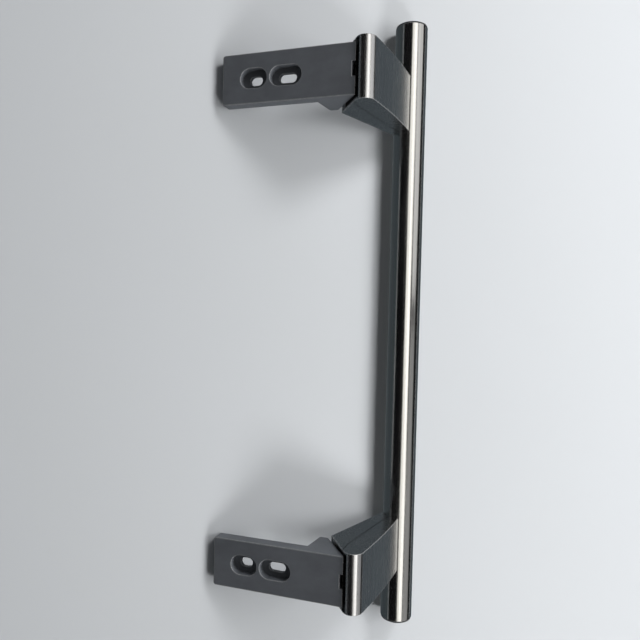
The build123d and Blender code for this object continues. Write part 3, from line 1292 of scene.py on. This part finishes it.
@dataclass
class BasePlate:
    """One plate design, made once and set at both brackets: slots, foot, ears and cells."""

    palette: Palette
    row: bpy.types.NodeTree
    sizes: Sizes = SIZES
    corner: float = 1.6
    edge_round: float = 0.6
    edge_turn: float = 20.0
    foot_drop: float = 16.4
    foot_length: float = 25.2
    foot_draft: float = 11.0
    foot_relief: float = 1.2
    foot_round: float = 1.2
    notch_width: float = 8.6
    notch_depth: float = 2.4
    notch_drop: float = 4.5
    notch_break: float = 0.3
    slot_spacing: float = 21.0
    slot_width: float = 5.8
    slot_short: float = 8.1
    slot_long: float = 11.2
    head_width: float = 12.2
    head_play: float = 9.3
    slot_floor: float = 2.4
    slot_steps: int = 32
    recess_break: float = 0.4
    slot_break: float = 0.3
    slot_rise: float = 0.5
    pin_play: float = 0.01
    wall: float = 2.0
    roof: float = 2.4
    cells: int = 4

    def build(self) -> None:
        """Makes the plate and sets a copy at each bracket."""
        plate = self.ears(self.sockets(self.slab()))
        finish_mesh(plate, self.palette.grey)
        set_at_brackets(
            plate, "plate_moulding", self.sizes, Body.DOOR_MOUNT, "base_plate"
        )

    def slab(self) -> bpy.types.Object:
        """The plate with its foot, slanted end and rounded outer edges."""
        sizes = self.sizes
        deep = sizes.plate_thickness
        foot_back = sizes.plate_end - self.foot_length
        reach = (self.foot_drop + deep) / sizes.tail_dir.y
        tip = sizes.edge + sizes.tail_dir * reach
        heel = foot_back + self.foot_drop * math.tan(math.radians(self.foot_draft))
        corners = [
            (sizes.plate_far, -deep),
            sizes.edge,
            (tip.x - self.foot_relief, self.foot_drop),
            (heel, self.foot_drop),
            (foot_back, 0.0),
            (sizes.plate_far, 0.0),
        ]
        outline = rounded(corners, {2: self.foot_round, 3: self.foot_round})
        slab = prism("plate_moulding", outline, sizes.plate_width / 2)
        # The far corners get no painted edge highlight; the outer face's edges do.
        round_edges(slab, self.at_far_corner, self.corner, 6, 0.0)
        return round_edges(
            slab, lambda e: is_sharp(e, self.edge_turn) and at_depth(e, -deep), self.edge_round, 4
        )

    def at_far_corner(self, edge: bmesh.types.BMEdge) -> bool:
        """True for the two upright corners of the plate's far end."""
        low, high = (v.co for v in edge.verts)
        far = all(abs(p.x - self.sizes.plate_far) < NEAR for p in (low, high))
        return far and abs(low.y - high.y) > self.sizes.plate_thickness / 2

    def stadium(
        self, middle: float, length: float, width: float, grow_by: float, depth: float
    ) -> Ring:
        """A ring of points round a slot, at a depth.

        Args:
            middle: The slot's middle along the plate.
            length: Its overall length.
            width: Its width.
            grow_by: How far the ring lies outside it.
            depth: Place along Y.

        Returns:
            The ring.
        """
        radius = width / 2 + grow_by
        off = (length - width) / 2
        near = arc((middle + off, 0), radius, -90, 90, self.slot_steps)
        far = arc((middle - off, 0), radius, 90, 270, self.slot_steps)
        return [(x, depth, z) for x, z in near + far]

    def sockets(self, slab: bpy.types.Object) -> bpy.types.Object:
        """Cuts the counterbored slots, the notch and the back's cells.

        Args:
            slab: The plate.

        Returns:
            The plate.
        """
        face = -self.sizes.plate_thickness
        floor = -self.slot_floor
        tools = []
        for side, length in ((-1, self.slot_short), (1, self.slot_long)):
            place, head = side * self.slot_spacing / 2, length + self.head_play
            drop = [(self.recess_break, face - OVERSHOOT)]
            for x, y in arc((0, 0), self.recess_break, 90, 0, 4):
                drop.append((self.recess_break - x, face + self.recess_break - y))
            drop.append((0.0, floor))
            rings = [self.stadium(place, head, self.head_width, out, y) for out, y in drop]
            tools.append(stack(f"recess_tool_{length:g}", rings, range(1, 5)))
            drop = [
                (self.slot_break, floor - self.slot_rise),
                (self.slot_break, floor),
                (0.0, floor + self.slot_break),
                (0.0, OVERSHOOT),
            ]
            rings = [self.stadium(place, length, self.slot_width, out, y) for out, y in drop]
            tools.append(stack(f"slot_tool_{length:g}", rings, (1,)))
        tools += [self.notch(), self.cell_row(-1), self.cell_row(1)]
        return shape(slab, [(Cut.AWAY, tool) for tool in tools])

    def notch(self) -> bpy.types.Object:
        """The notch in the hinge end, as a tool with broken edges."""
        face = -self.sizes.plate_thickness
        end = self.sizes.plate_end
        rings = []
        for out, depth in (
            (self.notch_break, face - OVERSHOOT),
            (self.notch_break, face),
            (0.0, face + self.notch_break),
            (0.0, face + self.notch_drop),
        ):
            low, high = end - self.notch_depth - out, end + self.notch_depth
            side = self.notch_width / 2 + out
            corners = ((low, -side), (high, -side), (high, side), (low, side))
            rings.append([(x, depth, z) for x, z in corners])
        return stack("notch_tool", rings, (1,))

    def cell_row(self, side: int) -> bpy.types.Object:
        """The moulded-out cells along one side of the slots, as one tool.

        Args:
            side: Minus one or one, for the lower or upper row.

        Returns:
            The tool.
        """
        sizes = self.sizes
        far = sizes.plate_far + self.wall
        near = sizes.plate_end - self.foot_length - self.wall
        pitch = (near - far + self.wall) / self.cells
        outer = sizes.plate_width / 2 - self.wall
        inner = self.head_width / 2 + self.wall
        run = (pitch - self.wall) / 2
        cell = block(
            f"cell_tool_{side}",
            (-run, -sizes.plate_thickness + self.roof, -(outer - inner) / 2),
            (run, OVERSHOOT, (outer - inner) / 2),
        )
        values = {"Count": self.cells, "Step": (pitch, 0.0, 0.0), "Material": self.palette.grey}
        grow(cell, self.row, values)
        cell.data.transform(Matrix.Translation(((far + near) / 2, 0, side * (outer + inner) / 2)))
        return cell

    def ears(self, slab: bpy.types.Object) -> bpy.types.Object:
        """Adds the hinge ears and bores them for the pin.

        Args:
            slab: The plate.

        Returns:
            The plate.
        """
        sizes = self.sizes
        outline = stadium_arm(
            sizes.pin_axis, -sizes.tail_in, sizes.ear_radius, 2 * sizes.pin_inset
        )
        steps = []
        for side in (-1, 1):
            middle = side * sizes.ear_spacing / 2
            steps.append((Cut.JOIN, prism(f"ear_{side}", outline, sizes.ear_width / 2, middle)))
        ring = circle(sizes.pin_axis, sizes.pin_radius + self.pin_play, FINE_STEPS)
        steps.append((Cut.AWAY, prism("pin_tool", ring, sizes.plate_width)))
        return shape(slab, steps)


@dataclass
class Hardware:
    """The hidden pins, screws and slugs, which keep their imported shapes."""

    palette: Palette
    nodes: dict[str, bpy.types.Object]
    kinds: tuple[str, ...] = ("hinge_pin", "bar_screw", "thread_slug")

    def dress(self) -> None:
        """Gives each node its plated finish."""
        for kind in self.kinds:
            for bracket in Bracket:
                node = self.nodes[f"{kind}_{bracket.name.lower()}"]
                for slot in node.material_slots:
                    slot.material = self.palette.plated
                LOG.info("%s: dressed", node.name)


# Studio


@dataclass(frozen=True)
class Lamp:
    """A soft panel of light, aimed at the middle of the handle.

    Its place is given by two angles in degrees and a distance, its size in metres. Mirrored says
    whether reflections show it, and spread whether it lights matt surfaces.
    """

    name: str
    azimuth: float
    elevation: float
    distance: float
    width: float
    height: float
    power: float
    colour: Colour = (1.0, 1.0, 1.0)
    mirrored: bool = True
    spread: bool = True

    def build(self, target: Vector) -> None:
        """Makes the lamp.

        Args:
            target: The point that it is aimed at, in metres.
        """
        light = bpy.data.lights.new(self.name, "AREA")
        light.shape = "RECTANGLE"
        light.size, light.size_y = self.width, self.height
        light.energy = self.power
        light.color = self.colour
        lamp = set_out(self.name, light)
        side, up = math.radians(self.azimuth), math.radians(self.elevation)
        flat = math.cos(up)
        away = Vector((math.sin(side) * flat, -math.cos(side) * flat, math.sin(up)))
        lamp.location = target + away * self.distance
        lamp.rotation_euler = (-away).to_track_quat("-Z", "Y").to_euler()
        lamp.visible_camera = False
        lamp.visible_glossy = self.mirrored
        lamp.visible_diffuse = self.spread


@dataclass
class Studio:
    """Camera, pale surface behind the handle, soft lamps and the room round them."""

    target: Vector = field(default_factory=lambda: Vector((0.06, 0.03, 0.0)))
    camera_at: tuple[float, float, float] = (0.13840, -0.33946, 0.01363)
    camera_right: tuple[float, float, float] = (0.95536, 0.29449, 0.02369)
    camera_up: tuple[float, float, float] = (-0.03056, 0.01873, 0.99936)
    focal_pixels: float = 578.1
    frame_pixels: float = 640.0
    sensor: float = 36.0
    clip: tuple[float, float] = (0.01, 50.0)
    floor_turn: float = 38.08
    floor_through: tuple[float, float] = (-0.0314, 0.0003)
    floor_half: float = 3.0
    floor_colour: Colour = (0.60, 0.62, 0.64)
    floor_shade: float = 0.97
    floor_pattern: Pattern = Pattern((3.0, 3.0, 3.0), 2.0)
    floor_roughness: float = 0.75
    floor_gloss: float = 0.2
    room_colour: Colour = (0.74, 0.76, 0.78)
    fill_colour: Colour = (0.96, 0.98, 1.0)
    fill_strength: float = 0.08
    card_radius: float = 1.25
    card_spread: float = 88.0
    card_steps: int = 24
    card_half: float = 1.5
    card_reach: float = 1.2
    card_lift: float = 0.002
    # Glow of the cards that only reflections see: painted reflections of a dark room and a darker
    # surface.
    dark_glow: Colour = (0.006, 0.006, 0.007)
    left_glow: Colour = (0.075, 0.092, 0.104)
    right_glow: Colour = (0.110, 0.132, 0.148)
    lamps: tuple[Lamp, ...] = (
        Lamp("key_panel_left", 27.0, 0.0, 0.85, 0.25, 1.5, 2.15, (1.0, 0.98, 0.94), spread=False),
        Lamp("key_panel_right", 44.5, 0.0, 0.85, 0.31, 1.5, 3.7, (1.0, 0.985, 0.955), spread=False),
        Lamp("side_panel_high", 81.0, 24.0, 0.98, 0.66, 0.8, 1.9),
        Lamp("side_panel_low", 81.0, -24.0, 0.98, 0.66, 0.8, 0.8),
        Lamp("side_fill", 78.0, 0.0, 1.00, 0.30, 0.45, 4.0, mirrored=False),
        Lamp("high_fill", 66.0, 42.0, 1.00, 0.30, 0.30, 4.6, mirrored=False),
        Lamp("low_fill", 66.0, -42.0, 1.00, 0.30, 0.30, 4.2, mirrored=False),
        Lamp("back_panel", 215.0, 6.0, 1.10, 0.90, 1.6, 5.0),
    )

    def build(self) -> None:
        """Makes everything that isn't part of the handle."""
        bpy.context.scene.view_settings.view_transform = "Standard"
        self.make_camera()
        self.make_floor()
        self.make_cards()
        self.make_room()
        for lamp in self.lamps:
            lamp.build(self.target)

    def make_camera(self) -> None:
        """The camera at the photograph's place, aim and field of view."""
        data = bpy.data.cameras.new("camera")
        data.sensor_width = self.sensor
        data.lens = self.focal_pixels / self.frame_pixels * self.sensor
        data.clip_start, data.clip_end = self.clip
        camera = set_out("camera", data)
        right, up = Vector(self.camera_right), Vector(self.camera_up)
        back = right.cross(up).normalized()
        up = back.cross(right).normalized()
        turn = Matrix((right.normalized(), up, back)).transposed().to_4x4()
        camera.matrix_world = Matrix.Translation(self.camera_at) @ turn
        bpy.context.scene.camera = camera

    def make_floor(self) -> None:
        """The pale surface that the handle lies against, open when it is seen from behind."""
        turn = math.radians(self.floor_turn)
        wide = Vector((math.cos(turn), math.sin(turn), 0)) * self.floor_half
        tall = Vector((0, 0, self.floor_half))
        base = Vector((*self.floor_through, 0))
        bm = bmesh.new()
        corners = ((-1, -1), (1, -1), (1, 1), (-1, 1))
        bm.faces.new([bm.verts.new(base + wide * u + tall * v) for u, v in corners])
        floor = from_bmesh("pale_surface", bm)
        shader = Shader("pale_surface", self.floor_colour, self.floor_roughness, 0.0)
        shader.body.inputs["Specular IOR Level"].default_value = self.floor_gloss
        soft = shader.noise(self.floor_pattern)
        darker = scaled(self.floor_colour, self.floor_shade)
        shader.link(shader.tint(soft, darker, self.floor_colour), "Base Color")
        behind = shader.node("NewGeometry").outputs["Backfacing"]
        lit = shader.node("LightPath").outputs["Is Shadow Ray"]
        open_to = shader.node("Math", {0: behind, 1: lit}, operation="MAXIMUM")
        clear = shader.node("BsdfTransparent")
        sides = {0: open_to.outputs[0], 1: shader.body.outputs[0], 2: clear.outputs[0]}
        shader.surface(shader.node("MixShader", sides))
        floor.data.materials.append(shader.material)

    def make_cards(self) -> None:
        """Glowing cards that only reflections see: painted reflections in place of a darker surface
        and room.

        A dark one curves round the camera's side. Two dim ones stand along the pale surface, one
        on each side of the bar.
        """
        turn = math.radians(self.floor_turn)
        along = Vector((math.cos(turn), math.sin(turn)))
        square = Vector((math.sin(turn), -math.cos(turn)))
        base = Vector(self.floor_through) + square * self.card_lift
        faced = self.floor_turn - 90
        ends = (faced - self.card_spread, faced + self.card_spread)
        curve = arc(self.target.xy, self.card_radius, *ends, self.card_steps)
        round_side = [Vector(p) for p in curve]
        touch = (SIZES.bar_axis * MM - base).dot(along)
        left = [base + along * (touch - u) for u in (self.card_reach, self.card_lift)]
        right = [base + along * (touch + u) for u in (self.card_lift, self.card_reach)]
        self.make_card("dark_card", round_side, self.dark_glow)
        self.make_card("dim_card_right", right, self.right_glow)
        self.make_card("dim_card_left", left, self.left_glow)

    def make_card(self, name: str, line: Sequence[Vector], glow: Sequence[float]) -> None:
        """An upright sheet along a line, seen by reflections only.

        Args:
            name: The card's name.
            line: Where it stands, in metres.
            glow: How bright it looks.
        """
        bm = bmesh.new()
        low, high = (
            [bm.verts.new((p.x, p.y, side * self.card_half)) for p in line] for side in (-1, 1)
        )
        for i in range(len(line) - 1):
            bm.faces.new((low[i], low[i + 1], high[i + 1], high[i]))
        card = from_bmesh(name, bm)
        shader = Shader(name, (0.0, 0.0, 0.0), 1.0, 0.0)
        shader.surface(shader.node("Emission", {"Color": (*glow, 1.0), "Strength": 1.0}))
        card.data.materials.append(shader.material)
        card.visible_camera = False
        card.visible_diffuse = False
        card.visible_transmission = False
        card.visible_shadow = False

    def make_room(self) -> None:
        """Even light from the room, and a pale background where the surface ends."""
        world = bpy.data.worlds.new("room")
        bpy.context.scene.world = world
        world.use_nodes = True
        tree = world.node_tree
        tree.nodes.clear()
        out = add_node(tree, "ShaderNodeOutputWorld")
        path = add_node(tree, "ShaderNodeLightPath").outputs
        seen = path["Is Camera Ray"]
        for kind in ("Is Glossy Ray", "Is Transmission Ray"):
            either = add_node(tree, "ShaderNodeMath", {0: seen, 1: path[kind]}, operation="MAXIMUM")
            seen = either.outputs[0]
        pale = add_node(tree, "ShaderNodeBackground", {"Color": (*self.room_colour, 1.0)})
        glow = {"Color": (*self.fill_colour, 1.0), "Strength": self.fill_strength}
        fill = add_node(tree, "ShaderNodeBackground", glow)
        sides = {0: seen, 1: fill.outputs[0], 2: pale.outputs[0]}
        mix = add_node(tree, "ShaderNodeMixShader", sides)
        tree.links.new(mix.outputs[0], out.inputs["Surface"])


def main() -> None:
    """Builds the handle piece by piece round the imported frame."""
    logging.basicConfig(level=logging.INFO, format="%(name)s %(message)s")
    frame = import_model()
    palette = Palette()
    row = row_tree()
    Studio().build()
    GripBar(palette).build()
    Lever(palette, row).build()
    BasePlate(palette, row).build()
    Hardware(palette, frame["nodes"]).dress()


if __name__ == "__main__":
    main()
